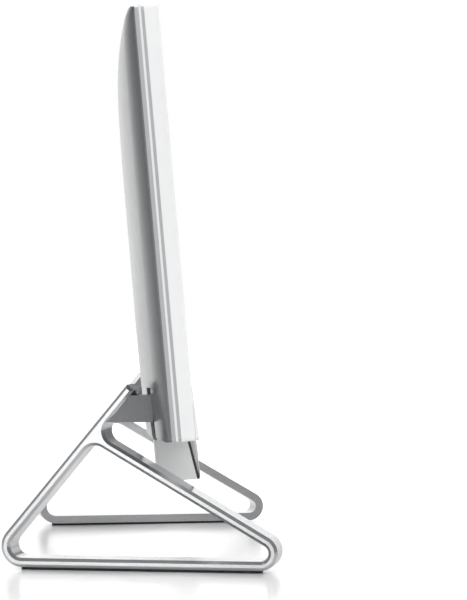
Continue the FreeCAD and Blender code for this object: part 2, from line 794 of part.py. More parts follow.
def chassis_plate():
    """The steel plate between the hinge brackets, with swaged stand-offs for the board."""
    body = new_body("chassis_plate", display_placement())
    box(body, "plate", both("250"), ("PlateDepth", PLATE_BACK), ("36", "317"))
    for side, word in SIDES:
        for index, (x, z) in enumerate(bracket_screw_places(side)):
            cylinder(body, "plate_hole_%s_%d" % (word, index), "Y", (str(x), "10", str(z)),
                     "ScrewRadius", "4", cut=True)
    for index, x in enumerate((-225, 215)):
        cylinder(body, "cable_hole_%d" % index, "Y", (str(x), "10", "240"), "12", "4", cut=True)
    for index, (x, z) in enumerate(BOARD_SCREWS):
        place = (str(x), "PlateDepth", str(z))
        cylinder(body, "standoff_%d" % index, "Y", place, "3", "BoardDepth - PlateDepth")
        cylinder(body, "standoff_hole_%d" % index, "Y", place, "ScrewRadius", "10", cut=True)


def machine_screws():
    """Identical screws: four in each hinge bracket and one in each corner post of the board."""
    places = [(x, number(BOARD_FACE), z) for x, z in BOARD_SCREWS]
    for side, _ in SIDES:
        for x, z in bracket_screw_places(side):
            places.append((x, number(PLATE_BACK + " + 2"), z))
    items = []
    for index, place in enumerate(places):
        items.append(one_screw("machine_screw_%d" % index, place, (0, -1, 0), "ScrewRadius",
                               "3", "2.6", 1.5))
    group("machine_screws", items, display_placement())


def system_board():
    """The main circuit board, screwed to the stand-offs, with the processor on it."""
    body = new_body("system_board", display_placement())
    box(body, "board", ("-100", "110"), ("BoardDepth", BOARD_FACE), ("42", "200"))
    for index, (x, z) in enumerate(BOARD_SCREWS):
        cylinder(body, "board_hole_%d" % index, "Y", (str(x), "14", str(z)), "ScrewRadius", "5",
                 cut=True)
    chip = plain_block("processor", ("0", "38"), (BOARD_FACE, BOARD_FACE + " + 1"), ("118", "156"))
    box(chip, "processor_lid", ("4", "34"), (BOARD_FACE + " + 1", BOARD_FACE + " + 2"),
        ("122", "152"))


def cooling():
    """A heat pipe from the processor to the fins above the blower."""
    top = BOARD_FACE + " + 2"
    plain_block("cold_plate", ("-4", "42"), (top, top + " + 2"), ("114", "160"), "3")
    body = new_body("heat_pipe", display_placement())
    points = [("15", "116"), ("23", "116"), ("23", "288"), ("-158", "288"), ("-158", "280"),
              ("15", "280")]
    sketch = outline(body, "pipe_outline", "XZ_Plane", points, offset="-(" + top + " + 2)")
    pad(body, "pipe", sketch, "3", reverse=True)
    round_corners(body, "pipe_outer_bend", Vector(0, 1, 0), "15",
                  lambda middle: middle.x > 22 and middle.z > 287)
    round_corners(body, "pipe_inner_bend", Vector(0, 1, 0), "7",
                  lambda middle: 14 < middle.x < 16 and 279 < middle.z < 281)
    fins = new_body("heat_sink", display_placement())
    base = top + " + 5"
    box(fins, "fin_base", ("-158", "-98"), (base, base + " + 1"), ("273", "295"))
    for index in range(16):
        left = -158 + index * 3.94
        box(fins, "fin_%d" % index, (str(left), str(left + 0.9)), (base + " + 1", base + " + 5.4"),
            ("273", "295"))


def blower():
    """The fan's housing, with its intake at the back and its outlet upwards, and the rotor."""
    body = new_body("fan_housing", display_placement())
    reach = "(FanRadius + 6)"
    back = "(FanFront + FanDepth)"
    box(body, "scroll", ("FanX - " + reach, "FanX + " + reach), ("FanFront", back),
        ("FanHeight - " + reach, "FanHeight + " + reach))
    round_corners(body, "scroll_corners", Vector(0, 1, 0), "10", lambda middle: middle.z < 232)
    middle = ("FanX", "FanFront + 1", "FanHeight")
    cylinder(body, "scroll_cavity", "Y", middle, "FanRadius + 2", "FanDepth - 2", cut=True)
    cylinder(body, "intake", "Y", middle, "FanRadius - 9", "FanDepth", cut=True)
    box(body, "outlet", ("FanX - FanRadius", "FanX + FanRadius"), ("FanFront + 1", back + " - 1"),
        ("FanHeight", "FanHeight + " + reach + " + 1"), cut=True)
    cylinder(body, "fan_pin", "Y", ("FanX", "FanFront", "FanHeight"), "1.5", "8")
    for index, (x, z) in enumerate(((-30, -20), (30, -20), (-30, 20), (30, 20))):
        cylinder(body, "fan_post_%d" % index, "Y",
                 ("FanX + %d" % x, PLATE_BACK, "FanHeight + %d" % z), "3", "FanFront - " + PLATE_BACK)
    rotor_place = display_placement().multiply(
        FreeCAD.Placement(Vector(size("FanX"), 0, size("FanHeight")), FreeCAD.Rotation()))
    rotor = new_body("fan_impeller", rotor_place)
    front = "FanFront + 1.5"
    cylinder(rotor, "rotor_disc", "Y", ("0", front, "0"), "FanRadius - 1", "0.8")
    cylinder(rotor, "rotor_hub", "Y", ("0", front, "0"), "11", "FanDepth - 3")
    blade = box(rotor, "blade", ("-0.5", "0.5"), (front, "FanFront + FanDepth - 1.5"),
                ("10", "FanRadius - 1"))
    doc.recompute()
    blades = rotor.newObject("PartDesign::PolarPattern", "blades")
    blades.Originals = [blade]
    blades.Axis = (origin_plane(rotor, "Y_Axis"), [""])
    blades.Angle = 360
    blades.Occurrences = 19
    rotor.Tip = blades
    cylinder(rotor, "rotor_bore", "Y", ("0", "FanFront + 1", "0"), "1.5 + ShaftFit", "FanDepth",
             cut=True)


def memory_and_drives():
    """Memory modules in their socket, the drives and the wireless card with its antennas."""
    socket = plain_block("memory_socket", ("32", "106"), (BOARD_FACE, BOARD_FACE + " + 8"),
                         ("70", "77"))
    modules = []
    for index in range(2):
        low = BOARD_FACE + " + %s" % (1.6 + 3.6 * index)
        depth = (low, low + " + 1.2")
        box(socket, "memory_slot_%d" % index, ("35", "103"), depth, ("73", "80"), cut=True)
        modules.append(loose_box("memory_module_%d" % index, ("35", "103"), depth, ("73", "103")))
    group("memory_modules", modules, display_placement())
    plain_block("solid_state_drive", ("-92", "-12"), (BOARD_FACE, BOARD_FACE + " + 2"),
                ("150", "172"))
    plain_block("wireless_card", ("-60", "-30"), (BOARD_FACE, BOARD_FACE + " + 2"),
                ("176", "198"))
    caddy = plain_block("drive_caddy", ("127", "233"), (PLATE_BACK, PLATE_BACK + " + 9"),
                        ("116", "194"))
    box(caddy, "caddy_bay", ("129", "231"), (PLATE_BACK + " + 1", PLATE_BACK + " + 10"),
        ("118", "192"), cut=True)
    plain_block("hard_drive", ("129.6", "229.9"), (PLATE_BACK + " + 1", PLATE_BACK + " + 8"),
                ("120", "190"), "2")
    antennas = []
    for side, word in SIDES:
        low, high = ("190", "242") if side > 0 else ("-242", "-190")
        antennas.append(loose_box("antenna_" + word, (low, high), (PLATE_BACK, PLATE_BACK + " + 1"),
                                  ("296", "308")))
    group("antennas", antennas, display_placement())


# ---------------------------------------------------------------- sockets

PORTS = {
    "usb_ports": [(-40, 14.4, 7.0), (-22, 14.4, 7.0), (-4, 14.4, 7.0), (14, 14.4, 7.0)],
    "video_ports": [(37, 16.2, 6.6), (58, 16.2, 6.6)],
    "network_jack": [(-66, 16.0, 14.0)],
}


def port_shell(name, x, width, height, tongue):
    """A metal socket from the board to the port plate, hollow from its face inwards."""
    low = number("PortHeight") - height / 2
    outer = loose_box(name + "_outer", (x - width / 2, x + width / 2), (BOARD_FACE, "PortFace"),
                      (low, low + height))
    inner = loose_box(name + "_inner", (x - width / 2 + 0.8, x + width / 2 - 0.8),
                      ("PortFace - 11", "PortFace + 1"), (low + 0.8, low + height - 0.8))
    shell = doc.addObject("Part::Cut", name + "_shell")
    shell.Base = outer
    shell.Tool = inner
    if not tongue:
        return shell
    bar = loose_box(name + "_tongue", (x - width / 2 + 1.8, x + width / 2 - 1.8),
                    ("PortFace - 12", "PortFace - 1"), (low + height / 2, low + height / 2 + 1.4))
    whole = doc.addObject("Part::Fuse", name)
    whole.Base = shell
    whole.Tool = bar
    return whole


def rear_ports():
    """Sockets that face the back, behind a plate with a cut-out for each."""
    plate = plain_block("port_plate", both("104"), ("PortFace - 1.4", "PortFace"),
                        ("PortHeight - 12", "PortHeight + 12"), "2")
    for label, places in PORTS.items():
        shells = []
        for index, (x, width, height) in enumerate(places):
            name = "%s_%d" % (label, index)
            shells.append(port_shell(name, x, width, height, label != "network_jack"))
            low = number("PortHeight") - height / 2
            box(plate, "cutout_" + name, (str(x - width / 2), str(x + width / 2)),
                ("PortFace - 3", "PortFace + 1"), (str(low), str(low + height)), cut=True)
        if len(shells) > 1:
            group(label, shells, display_placement())
        else:
            node(shells[0], label, display_placement())
    power_socket(plate)


def power_socket(plate):
    """The barrel socket for the power lead, with its centre pin."""
    body = new_body("power_jack", display_placement())
    x = "-90"
    cylinder(body, "power_barrel", "Y", (x, BOARD_FACE, "PortHeight"), "PowerRadius",
             "PortFace - " + BOARD_FACE)
    cylinder(body, "power_bore", "Y", (x, "PortFace - SocketDepth", "PortHeight"), "PowerBore",
             "SocketDepth + 1", cut=True)
    cylinder(body, "power_pin", "Y", (x, "PortFace - SocketDepth - 1", "PortHeight"), "0.8",
             "SocketDepth - 1")
    cylinder(plate, "cutout_power", "Y", (x, "PortFace - 3", "PortHeight"), "PowerRadius", "5",
             cut=True)


def headset_jack():
    """The headset socket in the right-hand side of the middle frame."""
    body = new_body("headset_jack", display_placement())
    cylinder(body, "headset_barrel", "X", ("DisplayWidth / 2 - MiddleInset - 16", "HeadsetDepth",
                                           "HeadsetHeight"), "HeadsetRadius", "16")
    cylinder(body, "headset_bore", "X", ("DisplayWidth / 2 - MiddleInset - SocketDepth",
                                         "HeadsetDepth", "HeadsetHeight"), "PlugBore",
             "SocketDepth + 1", cut=True)


# ---------------------------------------------------------------- camera and buttons

CAMERA_FRONT = "(PlateDepth + PlateThickness + SlideClearance)"
CAMERA_BACK = "(PlateDepth + PlateThickness + SlideClearance + CameraThickness)"
CAMERA_TOP = "(DisplayHeight - MiddleBeadInset)"


def pop_up_camera():
    """The camera slides up out of the top edge; its guide is fixed to the chassis plate."""
    body = new_body("camera_housing", display_placement())
    box(body, "camera_slab", both("CameraWidth / 2"), (CAMERA_FRONT, CAMERA_BACK),
        (CAMERA_TOP + " - CameraLength", CAMERA_TOP))
    box(body, "camera_window_seat", both("CameraWidth / 2 - 5"),
        (CAMERA_FRONT + " - 1", CAMERA_FRONT + " + 0.7"), (CAMERA_TOP + " - 19", CAMERA_TOP + " - 6"),
        cut=True)
    cylinder(body, "camera_barrel", "Y", ("0", CAMERA_FRONT, CAMERA_TOP + " - 12.5"), "3.6", "3.4",
             cut=True)
    plain_block("camera_window", both("CameraWidth / 2 - 5"),
                (CAMERA_FRONT, CAMERA_FRONT + " + 0.7"), (CAMERA_TOP + " - 19", CAMERA_TOP + " - 6"))
    lens = new_body("camera_lens", display_placement())
    cylinder(lens, "lens_barrel", "Y", ("0", CAMERA_FRONT + " + 0.7", CAMERA_TOP + " - 12.5"),
             "3.6", "2.7")
    guide = new_body("camera_guide", display_placement())
    floor = CAMERA_TOP + " - CameraLength"
    reach = "(CameraWidth / 2 + SlideClearance)"
    depth = (PLATE_BACK, CAMERA_BACK)
    box(guide, "guide_foot", both(reach + " + 3"), depth, (floor + " - 6", floor + " - 2"))
    for side, word in SIDES:
        low, high = reach, reach + " + 3"
        across = (low, high) if side > 0 else ("-(%s)" % high, "-(%s)" % low)
        box(guide, "guide_rail_" + word, across, depth, (floor + " - 3", "DisplayHeight - 9"))


def button_range(index):
    """Low and high X of a button: power first, then the display button."""
    middle = "(ButtonX - %d * ButtonPitch)" % index
    return middle + " - ButtonLength / 2", middle + " + ButtonLength / 2"


def buttons():
    """Two sprung buttons in the bottom edge, each with a flange that keeps it in."""
    switches = []
    for index, label in enumerate(("power_button", "display_button")):
        low, high = button_range(index)
        body = new_body(label, display_placement())
        depth = ("ButtonDepth", "ButtonDepth + ButtonWidth")
        box(body, label + "_cap", (low, high), depth, ("MiddleInset - 0.6", "MiddleFoot + 0.4"))
        round_corners(body, label + "_ends", Vector(0, 0, 1), "ButtonWidth / 2 - 0.2")
        box(body, label + "_flange", (low + " - 1.5", high + " + 1.5"), depth,
            ("MiddleFoot + 0.4", "MiddleFoot + 1.2"))
        switches.append(loose_box(label + "_switch", (low + " + 3", high + " - 3"), depth,
                                  ("MiddleFoot + 2.4", "MiddleFoot + 5.4")))
    group("button_switches", switches, display_placement())


# ---------------------------------------------------------------- the loudspeaker bar

SPEAKERS = (-150, 150)


def bar_layer(label, points):
    """One full-length layer of the bar, from its side outline as (depth, height)."""
    body = new_body(label, display_placement())
    sketch = outline(body, label + "_outline", "YZ_Plane", points, offset="-BarLength / 2")
    pad(body, label + "_run", sketch, "BarLength")
    return body


def soundbar():
    """The loudspeaker bar: front shell, rear shell, dark trim, grille and two drivers."""
    foot = "-BarDrop"
    housing = bar_layer("soundbar_housing", [
        ("BarFaceTop", "0"), ("BarSeam", "0"), ("BarSeam", foot), ("BarFaceBottom", foot)])
    box(housing, "bar_cavity", both("BarLength / 2 - 2"), ("10", "BarSeam + 1"),
        (foot + " + 2", "-2"), cut=True)
    rear = bar_layer("soundbar_rear_cover", [
        ("BarSeam", "0"), ("BarRear", "0"), ("BarRear", foot), ("BarSeam", foot)])
    round_corners(rear, "bar_rear_ends", Vector(0, 0, 1), "BarEndRadius",
                  lambda middle: middle.y > size("BarRear") - 1)
    doc.recompute()
    names = []
    for index, edge in enumerate(rear.Tip.Shape.Edges, start=1):
        if edge.BoundBox.YMin > size("BarSeam") + 0.5 and edge.BoundBox.ZMax < 1 - size("BarDrop"):
            names.append("Edge%d" % index)
    dress(rear, "bar_rear_edge", "Fillet", names, "BarFootRadius")
    trim = bar_layer("soundbar_trim", [
        ("BarFaceTop - TrimDepth", "0"), ("BarFaceTop", "0"), ("BarFaceBottom", foot),
        ("BarFaceBottom - TrimDepth", foot)])
    bar_layer("soundbar_grille", [
        ("1.4", "0"), ("BarFaceTop - TrimDepth", "0"), ("BarFaceBottom - TrimDepth", foot),
        ("-1.0", foot), ("-1.3", foot + " + 1"), ("-1.1", foot + " + 10")])
    drivers = []
    for index, x in enumerate(SPEAKERS):
        for body in (housing, trim):
            cylinder(body, "%s_port_%d" % (body.Label, index), "Y", (str(x), "-6", "-16"),
                     "11", "20", cut=True)
        place = FreeCAD.Placement(Vector(x, 10, -16), AXIS_TURNS["Y"])
        drivers.append(loose("Part::Cylinder", "driver_%d" % index,
                             (("Radius", 13), ("Height", 14)), place))
    group("speaker_drivers", drivers, display_placement())


def build_display():
    front_frame()
    chin_cover()
    screen_stack()
    middle_frame()
    rear_cover()
    slot_liners()
    for side, word in SIDES:
        hinge_bracket(side, word)
    chassis_plate()
    machine_screws()
    system_board()
    cooling()
    blower()
    memory_and_drives()
    rear_ports()
    headset_jack()
    pop_up_camera()
    buttons()
    soundbar()


build_stand()
build_display()
doc.recompute()


def write_parts():
    os.makedirs("parts", exist_ok=True)
    for item in doc.Objects:
        if "Invalid" in item.State or "Error" in item.State:
            raise RuntimeError("%s is %s" % (item.Label, item.State))
    for item in NODES:
        shape = item.Shape
        if shape.isNull() or not shape.isValid():
            raise RuntimeError("%s has no valid shape" % item.Label)
    for item in NODES:
        item.Shape.exportStep("parts/%s.step" % item.Label)
        bounds = item.Shape.BoundBox
        print("%-24s %9.0f mm3  X %7.1f %7.1f  Y %7.1f %7.1f  Z %7.1f %7.1f"
              % (item.Label, item.Shape.Volume, bounds.XMin, bounds.XMax, bounds.YMin,
                 bounds.YMax, bounds.ZMin, bounds.ZMax))


write_parts()
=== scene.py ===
import json
import math

import bmesh
import bpy
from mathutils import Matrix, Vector
from mathutils.bvhtree import BVHTree
from mathutils.interpolate import poly_3d_calc


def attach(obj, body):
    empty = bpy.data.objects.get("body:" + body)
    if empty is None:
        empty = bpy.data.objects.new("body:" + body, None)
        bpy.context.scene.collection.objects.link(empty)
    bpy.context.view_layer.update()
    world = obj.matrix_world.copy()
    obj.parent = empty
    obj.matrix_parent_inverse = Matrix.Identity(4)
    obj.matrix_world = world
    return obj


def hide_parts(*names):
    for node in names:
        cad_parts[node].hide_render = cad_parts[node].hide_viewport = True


# The looks of an all-in-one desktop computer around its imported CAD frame, in metres.

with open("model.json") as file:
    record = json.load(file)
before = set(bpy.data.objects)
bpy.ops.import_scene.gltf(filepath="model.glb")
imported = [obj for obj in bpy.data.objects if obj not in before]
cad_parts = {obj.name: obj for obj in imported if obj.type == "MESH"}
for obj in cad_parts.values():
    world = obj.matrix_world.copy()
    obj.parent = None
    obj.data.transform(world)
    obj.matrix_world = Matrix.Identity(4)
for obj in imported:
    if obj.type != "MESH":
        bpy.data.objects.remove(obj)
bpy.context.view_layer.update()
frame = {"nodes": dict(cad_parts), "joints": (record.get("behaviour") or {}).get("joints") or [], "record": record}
nodes = frame["nodes"]

# ---------------------------------------------------------------- the display's own frame

JOINTS = {joint["name"]: joint for joint in frame["joints"]}
UP = Vector(JOINTS["camera_slide"]["axis"])
BACK = Vector(JOINTS["fan_spin"]["axis"])
HINGE_DEPTH = 0.0191
HINGE_HEIGHT = 0.0240
ORIGIN = Vector(JOINTS["display_tilt"]["pos_m"]) - BACK * HINGE_DEPTH - UP * HINGE_HEIGHT

HALF_WIDTH = 0.270
HEIGHT = 0.326
# Depth and half width of the rim's painted highlight band, where the bead's chamfer catches light.
BEAD_HIGHLIGHT_DEPTH = 0.0140
BEAD_HIGHLIGHT_HALF = 0.0009


def place(across, depth, height):
    """A point of the display: across from its middle, behind its front, above its foot."""
    return ORIGIN + Vector((across, 0, 0)) + BACK * depth + UP * height


# ---------------------------------------------------------------- materials

class Look:
    """A material with one main shader and textures in the object's own metres."""

    def __init__(self, name, color, roughness, metallic=0.0, coat=0.0, coat_roughness=0.12,
                 specular=0.5):
        self.material = bpy.data.materials.new(name)
        self.material.use_nodes = True
        self.tree = self.material.node_tree
        self.shader = self.tree.nodes["Principled BSDF"]
        self.shader.inputs["Base Color"].default_value = (*color, 1)
        self.shader.inputs["Roughness"].default_value = roughness
        self.shader.inputs["Metallic"].default_value = metallic
        self.shader.inputs["Coat Weight"].default_value = coat
        self.shader.inputs["Coat Roughness"].default_value = coat_roughness
        self.shader.inputs["Specular IOR Level"].default_value = specular
        self.place = self.tree.nodes.new("ShaderNodeTexCoord").outputs["Object"]
        self.last_normal = None

    def link(self, source, target):
        self.tree.links.new(source, target)

    def stretched(self, stretch):
        mapping = self.tree.nodes.new("ShaderNodeMapping")
        mapping.inputs["Scale"].default_value = stretch
        self.link(self.place, mapping.inputs["Vector"])
        return mapping.outputs["Vector"]

    def noise(self, scale, stretch=(1, 1, 1), detail=3.0, roughness=0.5):
        texture = self.tree.nodes.new("ShaderNodeTexNoise")
        texture.inputs["Scale"].default_value = scale
        texture.inputs["Detail"].default_value = detail
        texture.inputs["Roughness"].default_value = roughness
        self.link(self.stretched(stretch), texture.inputs["Vector"])
        return texture.outputs["Fac"]

    def cells(self, scale):
        texture = self.tree.nodes.new("ShaderNodeTexVoronoi")
        texture.inputs["Scale"].default_value = scale
        self.link(self.place, texture.inputs["Vector"])
        return texture.outputs["Color"]

    def span(self, fac, low, high):
        """A texture's middle range spread from low to high."""
        ramp = self.tree.nodes.new("ShaderNodeMapRange")
        ramp.inputs["From Min"].default_value = 0.3
        ramp.inputs["From Max"].default_value = 0.7
        ramp.inputs["To Min"].default_value = low
        ramp.inputs["To Max"].default_value = high
        self.link(fac, ramp.inputs["Value"])
        return ramp.outputs["Result"]

    def tint(self, fac, dark, light):
        """Colour between two shades."""
        mix = self.tree.nodes.new("ShaderNodeMix")
        mix.data_type = "RGBA"
        mix.inputs["A"].default_value = (*dark, 1)
        mix.inputs["B"].default_value = (*light, 1)
        self.link(self.span(fac, 0, 1), mix.inputs["Factor"])
        self.link(mix.outputs["Result"], self.shader.inputs["Base Color"])
        return self

    def rough(self, fac, low, high):
        self.link(self.span(fac, low, high), self.shader.inputs["Roughness"])
        return self

    def bump(self, fac, height):
        """Relief of a given height in metres, laid over any earlier relief."""
        bump = self.tree.nodes.new("ShaderNodeBump")
        bump.inputs["Strength"].default_value = 1.0
        bump.inputs["Distance"].default_value = height
        self.link(fac, bump.inputs["Height"])
        if self.last_normal is not None:
            self.link(self.last_normal, bump.inputs["Normal"])
        self.last_normal = bump.outputs["Normal"]
        self.link(self.last_normal, self.shader.inputs["Normal"])
        return self


def shade(value, share):
    return tuple(channel * share for channel in value)


def moulded(name, color, roughness, grain, coat=0.0):
    """Moulded plastic: slow colour drift, finer gloss drift and a fine mould grain."""
    look = Look(name, color, roughness, coat=coat)
    look.tint(look.noise(18), shade(color, 0.97), color)
    look.rough(look.noise(160), roughness * 0.85, roughness * 1.15)
    return look.bump(look.noise(2600, detail=2), grain)


def white_plastic():
    return moulded("white_plastic", (0.87, 0.875, 0.88), 0.34, 0.000004, coat=0.25)


def rim_plastic():
    """Light grey ring with a painted highlight: the band between two depths of the display, at its bead, is
    painted paler.
    """
    color = (0.50, 0.505, 0.515)
    look = moulded("rim_plastic", color, 0.38, 0.000003)
    depth = look.tree.nodes.new("ShaderNodeVectorMath")
    depth.operation = "DOT_PRODUCT"
    depth.inputs[1].default_value = BACK
    look.link(look.place, depth.inputs[0])
    # Painted highlight: the band at the bead's depth gets a paler colour in place of the light its chamfer
    # catches.
    bead_highlight_band = look.tree.nodes.new("ShaderNodeMath")
    bead_highlight_band.operation = "COMPARE"
    bead_highlight_band.inputs[1].default_value = ORIGIN.dot(BACK) + BEAD_HIGHLIGHT_DEPTH
    bead_highlight_band.inputs[2].default_value = BEAD_HIGHLIGHT_HALF
    look.link(depth.outputs["Value"], bead_highlight_band.inputs[0])
    mix = look.tree.nodes.new("ShaderNodeMix")
    mix.data_type = "RGBA"
    mix.inputs["B"].default_value = (0.80, 0.805, 0.815, 1)
    look.link(look.shader.inputs["Base Color"].links[0].from_socket, mix.inputs["A"])
    look.link(bead_highlight_band.outputs["Value"], mix.inputs["Factor"])
    look.link(mix.outputs["Result"], look.shader.inputs["Base Color"])
    return look


def dark_plastic():
    return moulded("dark_plastic", (0.035, 0.035, 0.038), 0.5, 0.00001)


def silver_paint():
    """Metallic paint: flakes lie at slightly different angles under a satin top coat."""
    color = (0.185, 0.195, 0.20)
    look = Look("silver_paint", color, 0.40, metallic=0.8, coat=0.6, coat_roughness=0.22)
    look.tint(look.cells(3200), shade(color, 0.86), shade(color, 1.12))
    look.rough(look.noise(90), 0.38, 0.42)
    return look.bump(look.noise(5200, detail=2), 0.000001)


def satin_aluminium():
    """Anodised bar, finely blasted, with faint drawing lines along it."""
    color = (0.56, 0.565, 0.575)
    look = Look("satin_aluminium", color, 0.22, metallic=0.88)
    look.tint(look.noise(700, (0.15, 0.15, 1.0)), shade(color, 0.96), shade(color, 1.03))
    look.rough(look.noise(240), 0.20, 0.25)
    look.bump(look.noise(900, (0.08, 0.08, 1.0)), 0.0000006)
    return look.bump(look.noise(4200, detail=2), 0.0000005)


def arm_paint():
    color = (0.225, 0.23, 0.235)
    look = Look("arm_paint", color, 0.46, metallic=0.25)
    look.tint(look.cells(2600), shade(color, 0.9), shade(color, 1.08))
    look.rough(look.noise(120), 0.42, 0.5)
    return look.bump(look.noise(3600, detail=2), 0.000006)


def foot_rubber():
    color = (0.032, 0.032, 0.034)
    look = Look("foot_rubber", color, 0.8, specular=0.3)
    look.tint(look.noise(120, detail=5), shade(color, 0.75), shade(color, 1.4))
    look.rough(look.noise(400), 0.72, 0.88)
    return look.bump(look.noise(1400, detail=4), 0.00003)


def plated_steel():
    color = (0.52, 0.525, 0.54)
    look = Look("plated_steel", color, 0.32, metallic=1.0)
    look.tint(look.noise(60, detail=4), shade(color, 0.9), color)
    look.rough(look.noise(500), 0.26, 0.38)
    return look.bump(look.noise(1800, (1, 0.1, 1)), 0.000005)


def socket_metal():
    color = (0.70, 0.70, 0.72)
    look = Look("socket_metal", color, 0.2, metallic=1.0)
    look.tint(look.noise(300), shade(color, 0.85), color)
    look.rough(look.noise(900), 0.16, 0.28)
    return look.bump(look.noise(2200), 0.000004)


def screen_glass():
    """Dark cover glass with an etched surface that scatters sharp reflections."""
    color = (0.006, 0.0062, 0.0068)
    look = Look("screen_glass", color, 0.12, specular=0.45)
    look.tint(look.noise(9), shade(color, 0.85), shade(color, 1.15))
    look.rough(look.noise(1200), 0.10, 0.15)
    return look.bump(look.noise(6500, detail=1), 0.0000012)


def grille_cloth():
    """Light grey woven cloth: a two-way weave with uneven yarns."""
    color = (0.56, 0.565, 0.575)
    look = Look("grille_cloth", color, 0.85, specular=0.2)
    look.shader.inputs["Sheen Weight"].default_value = 0.25
    look.tint(look.noise(900, (1, 1, 0.15), detail=4), shade(color, 0.82), shade(color, 1.1))
    look.rough(look.noise(700), 0.78, 0.92)
    look.bump(look.noise(2400, (0.12, 1, 1)), 0.00006)
    return look.bump(look.noise(2400, (1, 1, 0.12)), 0.00006)


def board_mask():
    color = (0.015, 0.09, 0.045)
    look = Look("board_mask", color, 0.35, coat=0.4)
    look.tint(look.noise(500, (1, 1, 0.2), detail=5), shade(color, 0.6), shade(color, 1.4))
    return look.bump(look.cells(900), 0.00002)


def copper():
    color = (0.78, 0.36, 0.22)
    look = Look("copper", color, 0.3, metallic=1.0)
    look.tint(look.noise(80, detail=5), shade(color, 0.75), color)
    return look.bump(look.noise(2000, (0.1, 1, 1)), 0.000006)


def window_glass():
    color = (0.01, 0.01, 0.013)
    look = Look("window_glass", color, 0.06, coat=0.6)
    look.tint(look.noise(200), color, shade(color, 1.6))
    return look.rough(look.noise(900), 0.05, 0.09)


LOOKS = {
    "white_gloss": white_plastic(),
    "silver_cover": silver_paint(),
    "light_grey_rim": rim_plastic(),
    "stand_metal": satin_aluminium(),
    "arm_grey": arm_paint(),
    "foot_rubber": foot_rubber(),
    "steel": plated_steel(),
    "clear_glass": screen_glass(),
    "panel_black": dark_plastic(),
    "film_white": white_plastic(),
    "board_green": board_mask(),
    "dark_plastic": dark_plastic(),
    "socket_metal": socket_metal(),
    "copper": copper(),
    "fin_metal": plated_steel(),
    "grille_cloth": grille_cloth(),
}
SLOT_OF = {part["node"]: part["material_slot"] for part in frame["record"]["subparts"]}


def dress_nodes():
    """Every CAD node takes the look of its own slot."""
    for name, item in nodes.items():
        item.data.materials.clear()
        item.data.materials.append(LOOKS[SLOT_OF[name]].material)
    for name in ("camera_window", "camera_lens"):
        nodes[name].data.materials[0] = window_glass().material


# ---------------------------------------------------------------- mesh helpers

def add_piece(name, mesh, body, slot, replaced):
    """A finished mesh as a piece that rides on a body and stands for CAD nodes."""
    item = bpy.data.objects.new(name, mesh)
    bpy.context.scene.collection.objects.link(item)
    item.data.materials.append(LOOKS[slot].material)
    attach(item, body)
    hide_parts(*replaced)


def to_mesh(built, name):
    bmesh.ops.recalc_face_normals(built, faces=built.faces)
    mesh = bpy.data.meshes.new(name)
    built.to_mesh(mesh)
    built.free()
    return mesh


def bridge(built, first, second):
    """Quads between two closed rings of vertices."""
    count = len(first)
    for index in range(count):
        after = (index + 1) % count
        built.faces.new((first[index], first[after], second[after], second[index]))


# ---------------------------------------------------------------- the rear cover

SEAM = 0.018
SEAM_EDGE = 0.0002
COVER_HALF = HALF_WIDTH - 0.0005
COVER_FOOT = 0.0005
COVER_TOP = HEIGHT - 0.0005
COVER_CORNER = 0.004
COVER_WALL = 0.002
COVER_DEPTH = 0.0414
FULL_DEPTH = COVER_DEPTH - SEAM
SIDE_ROLL = 0.027
TOP_ROLL = 0.003
FOOT_ROLL = 0.004
SIDE_RISE = 0.0060
TOP_RISE = 0.0020
ROLL_STEPS = 14
SLOT_INNER = 0.1978
SLOT_OUTER = 0.2242
SLOT_TOP = 0.0410

# How the outer face falls away toward the sides, the top and the foot.
SIDE_DROP = 0.0174
SIDE_POWER = 3.1
TOP_EDGE = 0.0046
TOP_LENGTH = 0.0182
TOP_POWER = 0.863
FOOT_BAND = 0.060
FOOT_DROP = 0.0015

# How finely the shell and its openings are divided.
RING_SPACING = 0.006
CORNER_STEPS = 7
CENTRE_STEPS = 24
CENTRE_POWER = 1.25
SLOT_STEPS = 6

# How well a face has to agree with the whole shell to be shaded as part of it.
SMOOTH_LIMIT = 0.85


def crown(across, height):
    """Depth of the rear cover's outer face: flat in the middle, falling to the rim."""
    side_drop = SIDE_DROP * min(abs(across) / COVER_HALF, 1.0) ** SIDE_POWER
    from_side = (FULL_DEPTH - side_drop) / FULL_DEPTH
    down = max(HEIGHT - height, 0.0)
    rise = 1 - math.exp(-((down / TOP_LENGTH) ** TOP_POWER))
    from_top = (TOP_EDGE + (FULL_DEPTH - TOP_EDGE) * rise) / FULL_DEPTH
    low = max(1 - height / FOOT_BAND, 0.0)
    blend = 1 / math.sqrt(from_side ** -2 + from_top ** -2 - 1)
    return SEAM + FULL_DEPTH * blend - FOOT_DROP * low * low


def rounded_ring(side, foot, top, corner):
    """Points round a rectangle with round corners, the same number for any size."""
    centres = ((1, top - corner, 0), (-1, top - corner, 90),
               (-1, foot + corner, 180), (1, foot + corner, 270))
    points = []
    for index, (hand, level, start) in enumerate(centres):
        for step in range(CORNER_STEPS + 1):
            angle = math.radians(start + 90 * step / CORNER_STEPS)
            points.append((hand * (side - corner) + corner * math.cos(angle),
                           level + corner * math.sin(angle)))
        length = 2 * COVER_HALF if index % 2 == 0 else HEIGHT
        parts = round(length / RING_SPACING)
        next_hand, next_level, next_start = centres[(index + 1) % 4]
        angle = math.radians(next_start)
        here = points[-1]
        there = (next_hand * (side - corner) + corner * math.cos(angle),
                 next_level + corner * math.sin(angle))
        for step in range(1, parts):
            share = step / parts
            points.append((here[0] + (there[0] - here[0]) * share,
                           here[1] + (there[1] - here[1]) * share))
    return points


